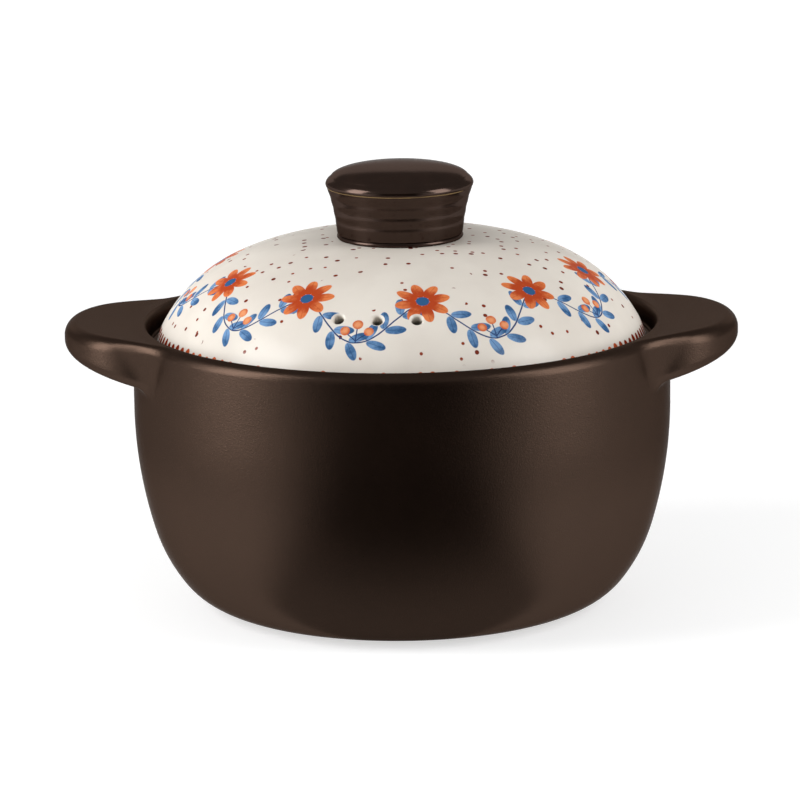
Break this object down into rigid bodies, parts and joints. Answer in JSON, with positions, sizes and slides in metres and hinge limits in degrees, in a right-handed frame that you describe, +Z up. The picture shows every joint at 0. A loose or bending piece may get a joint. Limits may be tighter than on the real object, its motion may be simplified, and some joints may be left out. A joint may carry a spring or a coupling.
{
  "type": "clay pot",
  "caption": "Round clay cooking pot with flat lug handles on the rim, a gallery inside the lip and a domed, vented lid with a turned knob.",
  "frame": {"origin": "centre of the foot ring, on the plane the pot stands on", "axes": "+Z up along the pot's axis, +X out through the right handle, front towards -Y"},
  "size_m": [0.285, 0.226, 0.1879],
  "materials": {
    "pot_glaze": "dark brown satin glaze with a fine grain",
    "lid_glaze": "glossy cream glaze with brown specks and a painted ring of flowers",
    "knob_glaze": "glossy dark brown glaze, worn pale along one edge"
  },
  "bodies": {
    "pot": {"pot_body": "pot_glaze", "left_handle": "pot_glaze", "right_handle": "pot_glaze"},
    "lid": {"lid": "lid_glaze", "knob": "knob_glaze"}
  },
  "joints": [
    {"name": "lid_lift", "type": "slide", "parent": "pot", "child": "lid", "axis": [0, 0, 1], "range_m": [0, 0.15]}
  ]
}
